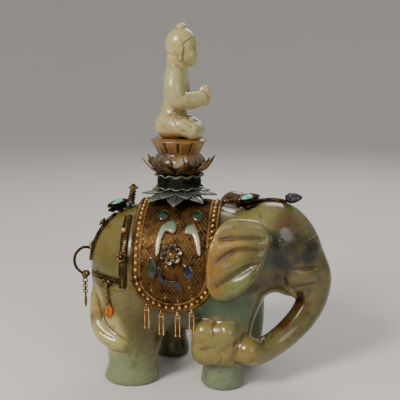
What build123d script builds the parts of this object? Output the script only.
from build123d import *
import os
from math import acos, copysign, cos, degrees, pi, radians, sin, sqrt

# A carved jade elephant in gilt filigree harness, carrying a metal lotus mount, a carved
# lotus throne and a seated figure. Millimetres. The origin is on the surface that the feet
# rest on, under the middle of the object; +X runs towards the head, +Y to the far flank
# and +Z up. Angles round the body are measured from the top, positive towards the near
# flank, which is -Y.

os.makedirs("parts", exist_ok=True)

# ---- Body of the elephant ----
barrel_x = -11.5          # middle of the body, along X
barrel_z = 56.5            # height of the body's long axis
barrel_half_length = 46.5
barrel_radius = 34.0
barrel_flatness = 0.92     # width of the body over its height
squareness = 2.6           # exponent of the body's superellipse outline
profile_steps = 16
band_count = 14            # flat-sided bands that the carved body is lofted from
band_start = 0.04          # share of the half turn left off at each end of the body

head_centre = (35.8, 0, 70)
head_size = (22.0, 20.0)   # radius in the XZ plane, half width
brow_centre = (46.5, 0, 62)
brow_size = (15.0, 20.0)   # radius seen from above, half height

# Trunk stations from the face to the tip: place and radius.
trunk_stations = [
    ((46.0, 0, 66.0), 13.5),
    ((57.6, 0, 54.5), 9.0),
    ((57.8, 0, 42.5), 7.8),
    ((53.2, -2.5, 32.5), 7.2),
    ((46.0, -7.0, 25.0), 6.7),
    ((38.0, -13.0, 20.0), 6.3),
    ((30.5, -20.0, 18.5), 6.5),
    ((25.6, -25.4, 21.0), 6.9),
]

# Tail stations from the root to the tip.
tail_stations = [
    ((-50.0, -13.0, 54.0), 2.4),
    ((-52.3, -16.5, 46.0), 2.9),
    ((-52.2, -17.5, 38.0), 3.8),
    ((-50.6, -19.5, 30.5), 5.0),
    ((-46.4, -23.0, 25.6), 5.4),
    ((-41.0, -26.0, 23.4), 4.8),
    ((-36.6, -27.6, 22.4), 3.9),
]

# Legs: for each, the stations from the shoulder down, as height, x, y, half length and
# half width. The lowest station is the flat sole.
near_rear_leg = [
    (46.0, -34.0, -14.5, 17.0, 15.0),
    (22.0, -33.0, -17.5, 14.5, 11.5),
    (9.0, -34.0, -18.0, 12.6, 10.8),
    (2.0, -34.8, -18.2, 14.2, 11.4),
    (0.0, -34.8, -18.2, 13.4, 10.6),
]
near_front_leg = [
    (46.0, 16.0, -13.0, 15.0, 14.5),
    (22.0, 13.5, -17.0, 12.0, 11.0),
    (9.0, 12.6, -17.6, 10.2, 10.0),
    (2.0, 12.6, -17.8, 11.3, 10.8),
    (0.0, 12.6, -17.8, 10.5, 10.0),
]
far_rear_leg = [
    (46.0, -26.0, 14.5, 16.0, 14.5),
    (22.0, -22.5, 17.5, 11.5, 11.0),
    (9.0, -20.5, 18.0, 9.4, 9.8),
    (2.0, -19.8, 18.2, 10.4, 10.6),
    (0.0, -19.8, 18.2, 9.6, 9.8),
]
far_front_leg = [
    (46.0, 20.0, 13.0, 12.6, 14.5),
    (22.0, 21.5, 17.0, 11.0, 11.0),
    (9.0, 21.5, 17.8, 9.8, 10.0),
    (2.0, 21.8, 18.0, 10.8, 10.8),
    (0.0, 21.8, 18.0, 10.0, 10.0),
]

ear_origin = (22.5, -25.4, 72.0)
ear_facing = (0.20, -0.955, 0.22)
ear_thickness = 6.0
# Outline of an ear in its own plane, from the front base round the top to the lobe.
ear_outline = [
    (13.5, -5.0), (14.2, 7.0), (8.0, 14.0), (-1.0, 16.0), (-8.6, 13.2),
    (-12.0, 4.0), (-10.4, -9.0), (-5.6, -18.5), (1.5, -21.0), (9.0, -14.5),
]

tusk_base = (43.0, -10.0, 50.0)
tusk_tip = (50.4, -10.6, 43.6)
tusk_radii = (2.6, 1.0)

bunch_centre = (10.2, -25.8, 25.4)
bunch_lobe_radius = 6.9
bunch_spread = (4.6, 4.9)   # half distances between the lobes, along X and Z

# ---- Saddle cloth ----
saddle_x = -10.6
saddle_half_width = 21.0
saddle_arch_z = 60.5        # above this the cloth's edges are straight
saddle_arch_drop = 19.5     # below it they close in half an ellipse
saddle_over = 100.0         # a height above the back, to carry the cloth over it
cloth_lifts = (0.30, 1.30)
solder = 0.10               # how far one soldered piece sinks into the next
rope_width = 1.7
rope_lift = 2.40
rim_inset = (4.6, 5.5)
rim_lift = 1.95
bead_inset = 3.1
bead_radius = 1.25
bead_pitch = 3.6
bead_lift = 1.60
enamel_lift = 2.10

# ---- Rings, chains, tassels and leaf drops ----
ring_wire = 0.28
loop_radius = 1.20
link_radius = 1.00
loop_to_link = 1.50         # centre of a loop to the centre of the link that hangs in it
link_pitch = 1.40
chain_links = 4
tassel_offsets = (-13.0, -6.0, 2.0, 9.0)
tassel_length = 10.0
tassel_wire = 0.34

# ---- Lotus mount and throne ----
lotus_x = -12.0
bore_radius = 1.6
bore_floor_z = 78.0
stud_radius = 1.5
stud_top_z = 109.6
spacer_z = (91.9, 96.0)
lower_skirt_z = 96.0
upper_skirt_z = 96.9
collar_z = (97.8, 105.2)
cup_z = 105.2
cup_floor_z = 106.2
throne_z = 108.4
throne_foot_radius = 8.5
socket_radius = 3.7
socket_top_z = 110.6
throne_top_z = 123.4


def barrel_profile(lift):
    """Half outline of the body grown by a lift, from the rump to the chest."""
    points = []
    for step in range(profile_steps + 1):
        turn = pi * step / profile_steps
        reach = copysign(abs(cos(turn)) ** (2 / squareness), -cos(turn))
        height = abs(sin(turn)) ** (2 / squareness)
        points.append((reach * (barrel_half_length + lift), height * (barrel_radius + lift)))
    points[0] = (-barrel_half_length - lift, 0)
    points[-1] = (barrel_half_length + lift, 0)
    return points


def barrel_solid(lift):
    """The body of the elephant without legs or head, grown by a lift."""
    middle = Plane(origin=(barrel_x, 0, barrel_z), x_dir=(1, 0, 0), z_dir=(0, -1, 0))
    with BuildPart() as barrel:
        with BuildSketch(middle):
            with BuildLine():
                outline = Spline(*barrel_profile(lift), tangents=[(0, 1), (0, -1)])
                Line(outline @ 1, outline @ 0)
            make_face()
        revolve(axis=Axis((barrel_x, 0, barrel_z), (1, 0, 0)))
        scale(by=(1, barrel_flatness, 1))
    return barrel.part


def barrel_core():
    """The carved body itself, lofted from oval sections just inside the smooth outline."""
    with BuildPart() as core:
        for band in range(band_count + 1):
            turn = pi * (band_start + (1 - 2 * band_start) * band / band_count)
            reach = copysign(abs(cos(turn)) ** (2 / squareness), -cos(turn))
            height = barrel_radius * sin(turn) ** (2 / squareness)
            middle = (barrel_x + reach * barrel_half_length, 0, barrel_z)
            with BuildSketch(Plane(origin=middle, x_dir=(0, 1, 0), z_dir=(1, 0, 0))):
                Ellipse(height * barrel_flatness, height)
        loft(ruled=True)
    return core.part


def barrel_reach(x):
    """Radius of the body's round section at a station along X."""
    share = min(1.0, abs(x - barrel_x) / barrel_half_length)
    return barrel_radius * (1 - share**squareness) ** (1 / squareness)


def on_barrel(x, angle, lift=0.0):
    """Plane on the body's skin at x and an angle from the top, its z_dir pointing out."""
    reach = barrel_reach(x)
    side = -reach * sin(radians(angle))
    rise = reach * cos(radians(angle))
    place = Vector(x, side * barrel_flatness, barrel_z + rise)
    share = abs(x - barrel_x) / barrel_half_length
    along = copysign(share ** (squareness - 1) / barrel_half_length, x - barrel_x)
    across = (reach / barrel_radius) ** (squareness - 1) / barrel_radius
    outward = Vector(along, across * side / (reach * barrel_flatness), across * rise / reach)
    outward = outward.normalized()
    forward = Vector(1, 0, 0) - outward * outward.X
    return Plane(origin=place + outward * lift, x_dir=forward, z_dir=outward)


def angle_at_height(x, z):
    """Angle round the body at which its skin has the height z."""
    return degrees(acos(max(-1.0, min(1.0, (z - barrel_z) / barrel_reach(x)))))


def skin_width(x, z):
    """Half width of the body at x and height z."""
    return barrel_flatness * sqrt(max(0.0, barrel_reach(x) ** 2 - (z - barrel_z) ** 2))


def station_plane(stations, index):
    """Plane square to a chain of stations at one of them."""
    before = Vector(*stations[max(index - 1, 0)][0])
    after = Vector(*stations[min(index + 1, len(stations) - 1)][0])
    return Plane(origin=stations[index][0], z_dir=(after - before))


def saddle_outline(inset):
    """Side view of the cloth as a U, drawn in by an inset and carried up over the back."""
    half_width = saddle_half_width - inset
    straight = saddle_over - saddle_arch_z
    with BuildSketch() as outline:
        with Locations((saddle_x, saddle_arch_z)):
            Ellipse(half_width, saddle_arch_drop - inset)
        with Locations((saddle_x, saddle_arch_z + straight / 2)):
            Rectangle(2 * half_width, straight)
    return outline.sketch


def saddle_edge_z(x, inset=0.0):
    """Height of the cloth's lower edge at x."""
    share = (x - saddle_x) / (saddle_half_width - inset)
    return saddle_arch_z - (saddle_arch_drop - inset) * sqrt(1 - share**2)


def bead_line():
    """Stations (x, angle) along one side's row of beads, from the rear top to the front top."""
    half_width = saddle_half_width - bead_inset
    drop = saddle_arch_drop - bead_inset
    fine = 200
    rear_x = saddle_x - half_width
    front_x = saddle_x + half_width
    rear_angle = angle_at_height(rear_x, saddle_arch_z)
    front_angle = angle_at_height(front_x, saddle_arch_z)
    line = [(rear_x, rear_angle * k / fine) for k in range(fine)]
    for k in range(fine + 1):
        turn = pi * k / fine
        x = saddle_x - half_width * cos(turn)
        line.append((x, angle_at_height(x, saddle_arch_z - drop * sin(turn))))
    line += [(front_x, front_angle * (1 - k / fine)) for k in range(1, fine + 1)]
    return line


def evenly_along(line, pitch):
    """Pick stations an even distance apart, starting half a pitch in."""
    places = [on_barrel(x, angle).origin for x, angle in line]
    gaps = [(b - a).length for a, b in zip(places, places[1:])]
    count = round(sum(gaps) / pitch)
    even = sum(gaps) / count
    picked, walked, wanted = [], 0.0, even / 2
    for station, gap in zip(line[1:], gaps):
        walked += gap
        if walked >= wanted and len(picked) < count:
            picked.append(station)
            wanted += even
    return picked


def petals(count, reach, petal_radius):
    """A flower outline: round petals about a hub."""
    with BuildSketch() as flower:
        Circle(reach)
        with PolarLocations(reach, count):
            Circle(petal_radius)
    return flower.sketch


def leaf_star(count, hub, tip, half_width, turn=0.0):
    """Pointed leaves round a hub, seen from above."""
    with BuildSketch() as leaf:
        with BuildLine():
            upper = ThreePointArc((0, 0.6 * half_width), (0.62 * tip, half_width), (tip, 0))
            lower = ThreePointArc(upper @ 1, (0.62 * tip, -half_width), (0, -0.6 * half_width))
            Line(lower @ 1, upper @ 0)
        make_face()
    with BuildSketch() as star:
        Circle(hub)
        for number in range(count):
            add(leaf.sketch.rotate(Axis.Z, turn + 360 * number / count))
    return star.sketch


def write(piece, node):
    """Label a finished piece and write it under its node's name."""
    piece.part.label = node
    export_step(piece.part, f"parts/{node}.step")


# Shapes that more than one piece is cut from.
cloth_shell = barrel_solid(cloth_lifts[1]) - barrel_solid(cloth_lifts[0])
trim_inner = barrel_solid(cloth_lifts[1] - solder)
rope_shell = barrel_solid(rope_lift) - trim_inner
rim_shell = barrel_solid(rim_lift) - trim_inner
enamel_shell = barrel_solid(enamel_lift) - trim_inner
strap_shell = barrel_solid(1.70) - barrel_solid(0.25)
lotus_plane = Plane(origin=(lotus_x, 0, 0))

# ---- The elephant, one carved stone ----

with BuildPart() as elephant:
    add(barrel_core())

    # Legs, each lofted down to its flat sole.
    for leg in (near_rear_leg, near_front_leg, far_rear_leg, far_front_leg):
        for height, x, y, half_length, half_width in leg:
            with BuildSketch(Plane(origin=(x, y, height))):
                Ellipse(half_length, half_width)
        loft(ruled=True)

    # Head and brow.
    with BuildSketch(Plane(origin=head_centre)):
        Ellipse(head_size[0], head_size[1])
        with Locations((-head_size[0], 0)):
            Rectangle(2 * head_size[0], 2 * head_size[1], mode=Mode.SUBTRACT)
    revolve(axis=Axis(head_centre, (0, 1, 0)))
    with BuildSketch(Plane(origin=brow_centre, x_dir=(1, 0, 0), z_dir=(0, -1, 0))):
        Ellipse(brow_size[0], brow_size[1])
        with Locations((-brow_size[0], 0)):
            Rectangle(2 * brow_size[0], 2 * brow_size[1], mode=Mode.SUBTRACT)
    revolve(axis=Axis(brow_centre, (0, 0, 1)))

    # Trunk, curling down to the near side.
    for index, (_, radius) in enumerate(trunk_stations):
        with BuildSketch(station_plane(trunk_stations, index)):
            Circle(radius)
    loft(ruled=True)
    with Locations(trunk_stations[-1][0]):
        Sphere(trunk_stations[-1][1])

    # Tail, laid round the rump on to the near thigh.
    for index, (_, radius) in enumerate(tail_stations):
        with BuildSketch(station_plane(tail_stations, index)):
            Circle(radius)
    loft(ruled=True)
    for place, radius in (tail_stations[0], tail_stations[-1]):
        with Locations(place):
            Sphere(radius)

    # The bunch that the trunk holds against the near foreleg: four lobes.
    for side in (-1, 1):
        for level in (-1, 1):
            lobe = (
                bunch_centre[0] + side * bunch_spread[0],
                bunch_centre[1],
                bunch_centre[2] + level * bunch_spread[1],
            )
            with Locations(lobe):
                Sphere(bunch_lobe_radius)

# Ear and tusk of the near side, mirrored to the far side.
with BuildPart() as near_ear:
    with BuildSketch(Plane(origin=ear_origin, x_dir=(1, 0, 0), z_dir=ear_facing)):
        with BuildLine():
            Spline(*ear_outline, periodic=True)
        make_face()
    extrude(amount=ear_thickness / 2, both=True)
    tusk_axis = Plane(origin=tusk_base, z_dir=Vector(*tusk_tip) - Vector(*tusk_base))
    with BuildSketch(tusk_axis):
        Circle(tusk_radii[0])
    with BuildSketch(tusk_axis.offset((Vector(*tusk_tip) - Vector(*tusk_base)).length)):
        Circle(tusk_radii[1])
    loft()
    mirror(about=Plane.XZ)

with BuildPart() as carved_elephant:
    add(elephant.part)
    add(near_ear.part)
    # Bore for the mount's stud.
    with BuildSketch(lotus_plane.offset(bore_floor_z)):
        Circle(bore_radius)
    extrude(amount=saddle_over - bore_floor_z, mode=Mode.SUBTRACT)
write(carved_elephant, "elephant")

# ---- Saddle cloth and the trim soldered to it ----

with BuildPart() as saddle_cloth:
    with BuildSketch(Plane.XZ):
        add(saddle_outline(0))
    extrude(amount=60, both=True)
    add(cloth_shell, mode=Mode.INTERSECT)
    with BuildSketch(lotus_plane.offset(bore_floor_z)):
        Circle(bore_radius)
    extrude(amount=saddle_over - bore_floor_z, mode=Mode.SUBTRACT)
write(saddle_cloth, "saddle_cloth")

with BuildPart() as saddle_rope_border:
    with BuildSketch(Plane.XZ):
        add(saddle_outline(0) - saddle_outline(rope_width))
    extrude(amount=60, both=True)
    add(rope_shell, mode=Mode.INTERSECT)
write(saddle_rope_border, "saddle_rope_border")

with BuildPart() as saddle_inner_rim:
    with BuildSketch(Plane.XZ):
        add(saddle_outline(rim_inset[0]) - saddle_outline(rim_inset[1]))
    extrude(amount=60, both=True)
    add(rim_shell, mode=Mode.INTERSECT)
write(saddle_inner_rim, "saddle_inner_rim")

with BuildPart() as saddle_bead_row:
    for x, angle in evenly_along(bead_line(), bead_pitch):
        for side in (1, -1):
            with Locations(on_barrel(x, side * angle, bead_lift)):
                Sphere(bead_radius)
write(saddle_bead_row, "saddle_bead_row")


def enamel(points):
    """An enamelled piece lying on both sides of the cloth, from its outline in side view."""
    with BuildPart() as piece:
        with BuildSketch(Plane.XZ):
            with BuildLine():
                Spline(*points, periodic=True)
            make_face()
        extrude(amount=60, both=True)
        add(enamel_shell, mode=Mode.INTERSECT)
    return piece.part


# Comma clouds, each a round head and a tail that sweeps down beside the flower.
rear_cloud = enamel([
    (-11.4, 84.0), (-8.6, 81.6), (-9.6, 78.2), (-12.8, 78.0), (-15.4, 75.0),
    (-16.8, 68.6), (-19.2, 68.8), (-19.0, 76.0), (-15.6, 82.4),
])
front_cloud = enamel([
    (-5.6, 81.0), (-2.6, 80.6), (0.6, 77.0), (2.6, 70.0), (0.6, 69.6),
    (-1.6, 74.6), (-4.4, 76.2), (-6.8, 78.0),
])
with BuildPart() as enamel_clouds:
    add(rear_cloud)
    add(front_cloud)
write(enamel_clouds, "enamel_clouds")

with BuildPart() as enamel_leaves:
    add(enamel([(-21.6, 68.8), (-19.4, 66.4), (-18.4, 62.0), (-20.2, 58.8), (-22.4, 61.6)]))
write(enamel_leaves, "enamel_leaves")

with BuildPart() as enamel_stems:
    add(enamel([
        (-17.6, 63.6), (-16.2, 63.2), (-15.4, 59.2), (-12.4, 57.6), (-8.4, 57.4),
        (-5.4, 53.0), (-6.6, 52.0), (-9.4, 55.2), (-13.4, 55.6), (-17.0, 58.0),
    ]))
write(enamel_stems, "enamel_stems")

with BuildPart() as enamel_buds:
    add(enamel([(-5.4, 65.0), (-2.6, 65.4), (-0.6, 62.0), (-2.2, 58.6), (-5.0, 59.6)]))
write(enamel_buds, "enamel_buds")

flower_x = -11.3
flower_angle = 67.0
flower_lift = 1.10
petal_height = 1.80
with BuildPart() as saddle_flowers:
    for side in (1, -1):
        with BuildSketch(on_barrel(flower_x, side * flower_angle, flower_lift)):
            add(petals(6, 3.6, 2.1))
        extrude(amount=petal_height)
write(saddle_flowers, "saddle_flowers")

with BuildPart() as flower_bosses:
    for side in (1, -1):
        seat = on_barrel(flower_x, side * flower_angle, flower_lift + petal_height - solder)
        with BuildSketch(seat):
            Circle(2.1)
        extrude(amount=0.9)
        with Locations(seat.offset(0.8)):
            Sphere(1.3)
write(flower_bosses, "flower_bosses")

# ---- Fringe: loops soldered under the cloth's edge, a hairpin tassel in each ----

loop_places = []
for offset in tassel_offsets:
    loop_x = saddle_x + offset
    loop_z = saddle_edge_z(loop_x) - 0.7
    loop_places.append((loop_x, skin_width(loop_x, loop_z + 1.0) + 1.75, loop_z))

with BuildPart() as fringe_loops:
    for side in (-1, 1):
        for x, y, z in loop_places:
            with Locations(Location((x, side * y, z), (0, 90, 0))):
                Torus(loop_radius, ring_wire)
write(fringe_loops, "fringe_loops")

for side, side_name in ((-1, "near"), (1, "far")):
    for number, (x, y, z) in enumerate(loop_places, start=1):
        link_z = z - loop_to_link
        with BuildPart() as tassel:
            with Locations(Location((x, side * y, link_z), (90, 0, 0))):
                Torus(link_radius, ring_wire)
            for leg in (-1, 1):
                with BuildSketch(Plane(origin=(x + leg * link_radius, side * y, link_z))):
                    Circle(tassel_wire)
                extrude(amount=-tassel_length)
                with Locations((x + leg * link_radius, side * y, link_z - tassel_length)):
                    Sphere(tassel_wire * 1.5)
        write(tassel, f"{side_name}_tassel_{number}")

# ---- Harness on the rump ----

rosette_seat = on_barrel(-43.0, 3.0, 2.3)
with BuildPart() as rump_rosette:
    with BuildSketch(rosette_seat):
        add(petals(8, 3.6, 1.35))
    extrude(amount=1.6)
    with BuildSketch(rosette_seat.offset(-0.8)):
        Circle(3.0)
    extrude(amount=0.9)
write(rump_rosette, "rump_rosette")

with BuildPart() as rump_cabochon:
    with BuildSketch(rosette_seat.offset(1.5)):
        Ellipse(3.2, 2.1)
    with BuildSketch(rosette_seat.offset(2.6)):
        Ellipse(2.5, 1.5)
    with BuildSketch(rosette_seat.offset(3.0)):
        Ellipse(1.2, 0.7)
    loft()
write(rump_cabochon, "rump_cabochon")

rump_bead_place = on_barrel(-36.6, 11.0, 2.2)
with BuildPart() as rump_bead:
    with Locations(rump_bead_place):
        Sphere(1.8)
write(rump_bead, "rump_bead")

finial_foot = on_barrel(-37.8, -4.0, 1.5)
finial_top = (-36.4, 1.6, 96.4)
finial_line = Vector(*finial_top) - finial_foot.origin
with BuildPart() as crupper_finial:
    with BuildSketch(Plane(origin=finial_foot.origin, z_dir=finial_line)):
        Circle(1.9)
    with BuildSketch(Plane(origin=finial_top, z_dir=finial_line)):
        Circle(1.0)
    loft()
    with BuildSketch(Plane(origin=finial_top)):
        Circle(2.6)
    with BuildSketch(Plane(origin=(finial_top[0], finial_top[1], finial_top[2] + 2.6))):
        Circle(0.4)
    loft()
write(crupper_finial, "crupper_finial")

# The crupper strap runs in an upright slab from the rosette down the rump.
strap_width = 2.4
crupper_heading = Vector(-16, -10.5, 0)
with BuildPart() as crupper_strap:
    crupper_middle = Plane(origin=(-49.5, -9.0, 68.5), x_dir=crupper_heading, z_dir=(0, 0, 1))
    with BuildSketch(crupper_middle.offset(-11.5)):
        Rectangle(24, strap_width)
    extrude(amount=28)
    add(strap_shell, mode=Mode.INTERSECT)
write(crupper_strap, "crupper_strap")

crupper_flower_seat = on_barrel(-48.6, 24.5, 1.6)
with BuildPart() as crupper_flower:
    with BuildSketch(crupper_flower_seat):
        add(petals(5, 1.5, 1.0))
    extrude(amount=1.4)
write(crupper_flower, "crupper_flower")

crupper_bead_seat = on_barrel(-54.0, 45.0, 2.4)
with BuildPart() as crupper_bead:
    with Locations(crupper_bead_seat):
        Sphere(1.2)
write(crupper_bead, "crupper_bead")

# A stiff wire hoop round the root of the tail, standing clear of the rump.
hoop_wire = 0.8
hoop_top = (-57.0, -9.5, 67.0)
hoop_far = (-66.0, -10.0, 59.4)
hoop_bottom = (-60.8, -10.5, 52.4)
with BuildPart() as tail_hoop:
    with BuildLine() as hoop_line:
        ThreePointArc(hoop_top, hoop_far, hoop_bottom)
    with BuildSketch(Plane(origin=hoop_line.line @ 0, z_dir=hoop_line.line % 0)):
        Circle(hoop_wire)
    sweep()
    for end in (hoop_top, hoop_bottom):
        with Locations(end):
            Sphere(1.3)
write(tail_hoop, "tail_hoop")

# ---- Flank straps, breeching straps and their flowers ----

flank_strap_x = -35.6
flank_bottom_z = 50.5
breech_z = 55.6


def flank_band(side, low, high, span, height_at_rear=0.0):
    """A strap cut from the shell over one flank, as a slab between two heights."""
    with BuildPart() as band:
        with BuildSketch(Plane.XZ):
            with BuildLine():
                Polyline(
                    (span[0], low + height_at_rear), (span[1], low),
                    (span[1], high), (span[0], high + height_at_rear), close=True,
                )
            make_face()
        extrude(amount=-side * 60)
        add(strap_shell, mode=Mode.INTERSECT)
    return band.part


for side, side_name in ((-1, "near"), (1, "far")):
    with BuildPart() as flank_strap:
        add(flank_band(side, flank_bottom_z, 84.6, (flank_strap_x - 1.7, flank_strap_x + 1.7)))
    write(flank_strap, f"{side_name}_flank_strap")
    with BuildPart() as breeching_strap:
        add(flank_band(side, breech_z - 1.1, breech_z + 1.1, (-52.0, flank_strap_x - 1.9), 0.8))
    write(breeching_strap, f"{side_name}_breeching_strap")

with BuildPart() as flank_flowers:
    for side in (1, -1):
        with BuildSketch(on_barrel(flank_strap_x, side * 70.0, 1.6)):
            add(petals(6, 1.8, 1.1))
        extrude(amount=1.5)
write(flank_flowers, "flank_flowers")

with BuildPart() as flank_beads:
    for side in (1, -1):
        with Locations(on_barrel(flank_strap_x, side * 46.0, 2.5)):
            Sphere(1.25)
write(flank_beads, "flank_beads")

# ---- Drops: a clasp with a loop, a short chain and a leaf ----

near_clasp_x = -43.4
near_clasp_z = 53.2
clasp_gap = 2.3
near_loop = (near_clasp_x, skin_width(near_clasp_x, near_clasp_z) + clasp_gap, near_clasp_z - 2.6)
rear_loop = (-60.4, -10.5, 49.2)

with BuildPart() as breeching_clasps:
    for side in (-1, 1):
        seat = on_barrel(near_clasp_x, -side * angle_at_height(near_clasp_x, near_clasp_z + 1.2), 1.6)
        with BuildSketch(seat):
            RegularPolygon(2.7, 3, rotation=90)
        extrude(amount=1.4)
        with Locations(Location((near_loop[0], side * near_loop[1], near_loop[2]), (0, 90, 0))):
            Torus(loop_radius, ring_wire)
write(breeching_clasps, "breeching_clasps")

with BuildPart() as rear_clasp:
    with Locations((-60.4, -10.5, 51.6), (-59.0, -11.3, 53.4), (-60.8, -8.9, 52.9)):
        Sphere(1.5)
    with Locations(Location(rear_loop, (90, 0, 0))):
        Torus(loop_radius, ring_wire)
write(rear_clasp, "rear_clasp")

drops = [
    ("near", (near_loop[0], -near_loop[1], near_loop[2]), False),
    ("far", (near_loop[0], near_loop[1], near_loop[2]), False),
    ("rear", rear_loop, True),
]
leaf_length = 6.6
leaf_half_width = 2.1
leaf_thickness = 0.8
for drop_name, (x, y, z), turned in drops:
    # Links lie square to each other in turn; the rear chain is a quarter turn from the others.
    turns = [(0, 90, 0), (90, 0, 0)] if turned else [(90, 0, 0), (0, 90, 0)]
    with BuildPart() as drop_chain:
        for link in range(chain_links):
            link_z = z - loop_to_link - link * link_pitch
            with Locations(Location((x, y, link_z), turns[link % 2])):
                Torus(link_radius, ring_wire)
    write(drop_chain, f"{drop_name}_drop_chain")
    eye_z = z - loop_to_link - chain_links * link_pitch
    leaf_side = (1, 0, 0) if turned else (0, -1, 0)
    leaf_across = (0, 1, 0) if turned else (1, 0, 0)
    leaf_plane = Plane(origin=(x, y, eye_z), x_dir=leaf_across, z_dir=leaf_side)
    leaf_top = -link_radius - 0.05
    with BuildPart() as drop_leaf:
        with Locations(Location((x, y, eye_z), turns[0])):
            Torus(link_radius, ring_wire)
        with BuildSketch(leaf_plane):
            with BuildLine():
                middle = leaf_top - 0.45 * leaf_length
                right = ThreePointArc((0, leaf_top + 0.2), (leaf_half_width, middle),
                                      (0, leaf_top - leaf_length))
                ThreePointArc(right @ 1, (-leaf_half_width, middle), right @ 0)
            make_face()
        extrude(amount=leaf_thickness / 2, both=True)
    write(drop_leaf, f"{drop_name}_drop_leaf")

# ---- Harness on the head ----

head_rosette_place = Plane(origin=(23.4, -1.0, 91.6), x_dir=(1, 0, 0.2), z_dir=(-0.18, -0.16, 1))
with BuildPart() as head_rosette:
    with BuildSketch(head_rosette_place):
        add(petals(8, 4.8, 1.8))
    extrude(amount=1.9)
write(head_rosette, "head_rosette")

with BuildPart() as head_cabochon:
    with BuildSketch(head_rosette_place.offset(1.8)):
        Ellipse(3.4, 2.2)
    with BuildSketch(head_rosette_place.offset(2.9)):
        Ellipse(2.6, 1.6)
    with BuildSketch(head_rosette_place.offset(3.3)):
        Ellipse(1.3, 0.8)
    loft()
write(head_cabochon, "head_cabochon")

head_strap_thickness = 1.5
with BuildPart() as head_strap:
    with BuildSketch(Plane(origin=head_centre, x_dir=(1, 0, 0), z_dir=(0, -1, 0))):
        Circle(head_size[0] + 0.3 + head_strap_thickness)
        Circle(head_size[0] + 0.3, mode=Mode.SUBTRACT)
        with Locations((0, head_size[0])):
            Rectangle(13.5, 12, mode=Mode.INTERSECT)
    extrude(amount=1.5, both=True)
write(head_strap, "head_strap")

link_low = (11.4, -2.0, 91.4)
link_high = (19.2, -1.6, 91.4)
with BuildPart() as head_link:
    link_line = Vector(*link_high) - Vector(*link_low)
    with BuildSketch(Plane(origin=link_low, z_dir=link_line)):
        Circle(0.9)
    extrude(amount=link_line.length)
    with BuildSketch(Plane(origin=link_low, z_dir=link_line)):
        Circle(1.4)
    extrude(amount=1.6)
write(head_link, "head_link")

bud_base = Vector(42.8, 0, 93.2)
bud_heading = Vector(8, 0, 0.6)
with BuildPart() as brow_bud:
    with BuildSketch(Plane(origin=bud_base, z_dir=bud_heading)):
        Circle(1.3)
    with BuildSketch(Plane(origin=bud_base + bud_heading * 0.25, z_dir=bud_heading)):
        Circle(2.7)
    with BuildSketch(Plane(origin=bud_base + bud_heading * 0.65, z_dir=bud_heading)):
        Circle(1.9)
    with BuildSketch(Plane(origin=bud_base + bud_heading, z_dir=bud_heading)):
        Circle(0.4)
    loft()
write(brow_bud, "brow_bud")

# ---- Lotus mount ----

with BuildPart() as centre_stud:
    with BuildSketch(lotus_plane.offset(bore_floor_z)):
        Circle(stud_radius)
    extrude(amount=stud_top_z - bore_floor_z)
write(centre_stud, "centre_stud")

with BuildPart() as skirt_spacer:
    with BuildSketch(lotus_plane.offset(spacer_z[0])):
        Circle(6.0)
        Circle(bore_radius, mode=Mode.SUBTRACT)
    extrude(amount=spacer_z[1] - spacer_z[0])
write(skirt_spacer, "skirt_spacer")


def leaf_skirt(top_z, hub, tip, drop, thickness, star):
    """A sheet of leaves that falls away from a flat hub, cut to a star seen from above."""
    profile = Plane(origin=(lotus_x, 0, top_z), x_dir=(1, 0, 0), z_dir=(0, -1, 0))
    bend = (0.5 * (hub + tip) + 1.0, -0.4 * drop)
    with BuildPart() as skirt:
        with BuildSketch(profile):
            with BuildLine():
                Line((bore_radius, 0), (hub, 0))
                upper = ThreePointArc((hub, 0), bend, (tip, -drop))
                Line(upper @ 1, (tip, -drop - thickness))
                ThreePointArc((tip, -drop - thickness), (bend[0], bend[1] - thickness),
                              (hub, -thickness))
                Line((hub, -thickness), (bore_radius, -thickness))
                Line((bore_radius, -thickness), (bore_radius, 0))
            make_face()
        revolve(axis=Axis((lotus_x, 0, 0), (0, 0, 1)))
        with BuildSketch(lotus_plane.offset(top_z - drop - 5)):
            add(star)
        extrude(amount=drop + 10, mode=Mode.INTERSECT)
    return skirt.part


sheet = 0.9
with BuildPart() as leaf_skirt_lower:
    add(leaf_skirt(lower_skirt_z + sheet, 8.0, 19.4, 3.4, sheet, leaf_star(8, 9.0, 19.6, 5.4)))
write(leaf_skirt_lower, "leaf_skirt_lower")

with BuildPart() as leaf_skirt_upper:
    add(leaf_skirt(upper_skirt_z + sheet, 8.0, 16.4, 1.6, sheet, leaf_star(8, 9.5, 16.6, 5.0, 22.5)))
write(leaf_skirt_upper, "leaf_skirt_upper")

with BuildPart() as lotus_collar:
    with BuildSketch(Plane(origin=(lotus_x, 0, collar_z[0]), x_dir=(1, 0, 0), z_dir=(0, -1, 0))):
        with BuildLine():
            collar_height = collar_z[1] - collar_z[0]
            Polyline(
                (bore_radius, 0), (10.6, 0), (11.6, 0.5), (11.0, 2.2), (11.2, collar_height - 2.0),
                (12.1, collar_height - 0.8), (12.1, collar_height), (bore_radius, collar_height),
                close=True,
            )
        make_face()
    revolve(axis=Axis((lotus_x, 0, 0), (0, 0, 1)))
write(lotus_collar, "lotus_collar")

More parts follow.
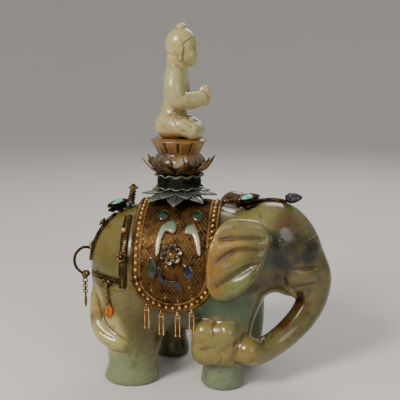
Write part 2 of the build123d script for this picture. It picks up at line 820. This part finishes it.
# Leaf cup: a thin bowl cut to upturned leaves.
with BuildPart() as leaf_cup:
    with BuildSketch(Plane(origin=(lotus_x, 0, cup_z), x_dir=(1, 0, 0), z_dir=(0, -1, 0))):
        with BuildLine():
            Line((bore_radius, 0), (9.0, 0))
            outside = ThreePointArc((9.0, 0), (15.6, 2.4), (19.2, 8.6))
            Line(outside @ 1, (18.4, 9.0))
            inside = ThreePointArc((18.4, 9.0), (15.0, 3.3), (9.0, 1.0))
            Line(inside @ 1, (bore_radius, 1.0))
            Line((bore_radius, 1.0), (bore_radius, 0))
        make_face()
    revolve(axis=Axis((lotus_x, 0, 0), (0, 0, 1)))
    with BuildSketch(lotus_plane.offset(cup_z - 1)):
        add(leaf_star(8, 14.0, 19.2, 5.6, 22.5))
    extrude(amount=15, mode=Mode.INTERSECT)
write(leaf_cup, "leaf_cup")

with BuildPart() as stud_nut:
    with BuildSketch(lotus_plane.offset(cup_floor_z)):
        RegularPolygon(3.2, 6)
        Circle(stud_radius, mode=Mode.SUBTRACT)
    extrude(amount=2.0)
write(stud_nut, "stud_nut")

# ---- Carved throne and seated figure ----

throne_half = (
    (0.0, 0.0), (10.4, 0.0), (12.9, 1.6), (13.2, 3.2), (11.6, 6.0), (10.9, 7.4),
    (12.2, 9.6), (14.1, 12.6), (14.2, 14.0), (13.0, 15.0), (0.0, 15.0),
)
throne_petals = 12
with BuildPart() as lotus_throne:
    with BuildSketch(Plane(origin=(lotus_x, 0, throne_z), x_dir=(1, 0, 0), z_dir=(0, -1, 0))):
        with BuildLine():
            Polyline(*throne_half, close=True)
        make_face()
    revolve(axis=Axis((lotus_x, 0, 0), (0, 0, 1)))
    # A round foot that stands on the floor of the cup.
    with BuildSketch(lotus_plane.offset(cup_floor_z)):
        Circle(throne_foot_radius)
    extrude(amount=throne_z - cup_floor_z)
    # Grooves between the carved petals, above and below the waist.
    with BuildSketch(lotus_plane.offset(throne_z + 7.6)):
        with PolarLocations(15.0, throne_petals):
            Circle(1.3)
    extrude(amount=6.2, mode=Mode.SUBTRACT)
    with BuildSketch(lotus_plane.offset(throne_z)):
        with PolarLocations(14.3, throne_petals, start_angle=15):
            Circle(1.4)
    extrude(amount=7.0, mode=Mode.SUBTRACT)
    # Socket that clears the nut and the end of the stud.
    with BuildSketch(lotus_plane.offset(cup_floor_z)):
        Circle(socket_radius)
    extrude(amount=socket_top_z - cup_floor_z, mode=Mode.SUBTRACT)
write(lotus_throne, "lotus_throne")

figure_x = lotus_x - 1.6
knee_reach = 11.6
shoulder_z = 153.6
figure_head = (-10.2, 0, 168.2)
with BuildPart() as seated_figure:
    # Crossed legs under a robe.
    with BuildSketch(Plane(origin=(lotus_x, 0, throne_top_z))):
        Ellipse(10.4, 12.0)
    with BuildSketch(Plane(origin=(lotus_x, 0, throne_top_z + 4.6))):
        Ellipse(12.2, 12.6)
    with BuildSketch(Plane(origin=(figure_x - 1.2, 0, throne_top_z + 9.4))):
        Ellipse(8.6, 9.6)
    with BuildSketch(Plane(origin=(figure_x - 0.6, 0, throne_top_z + 16.0))):
        Ellipse(6.0, 7.6)
    with BuildSketch(Plane(origin=(figure_x, 0, shoulder_z - 4.0))):
        Ellipse(5.8, 9.6)
    with BuildSketch(Plane(origin=(figure_x + 0.2, 0, shoulder_z + 2.4))):
        Ellipse(4.4, 7.6)
    with BuildSketch(Plane(origin=(figure_x + 0.8, 0, shoulder_z + 5.6))):
        Ellipse(3.6, 3.8)
    loft(ruled=True)
    # Neck and head, with a smooth cap of hair and a bun.
    with BuildSketch(Plane(origin=(figure_x + 0.8, 0, shoulder_z + 4.0))):
        Circle(3.8)
    extrude(amount=8.0)
    with BuildSketch(Plane(origin=figure_head, x_dir=(1, 0, 0), z_dir=(0, -1, 0))):
        Ellipse(7.2, 9.2)
        with Locations((-7.2, 0)):
            Rectangle(14.4, 20, mode=Mode.SUBTRACT)
    revolve(axis=Axis(figure_head, (0, 0, 1)))
    with Locations((figure_head[0] - 0.4, 0, figure_head[2] + 9.6)):
        Sphere(2.2)
    # Arms: upper arms down to the elbows, forearms to the joined hands.
    for side in (-1, 1):
        shoulder = Vector(figure_x, side * 8.4, shoulder_z)
        elbow = Vector(figure_x - 0.4, side * 11.4, 141.2)
        hand = Vector(2.4, side * 1.9, 146.4)
        for start, end, radii in ((shoulder, elbow, (3.5, 3.0)), (elbow, hand, (3.0, 2.0))):
            with BuildSketch(Plane(origin=start, z_dir=end - start)):
                Circle(radii[0])
            with BuildSketch(Plane(origin=end, z_dir=end - start)):
                Circle(radii[1])
            loft()
            with Locations(start):
                Sphere(radii[0])
        with Locations(hand):
            Sphere(2.2)
write(seated_figure, "seated_figure")
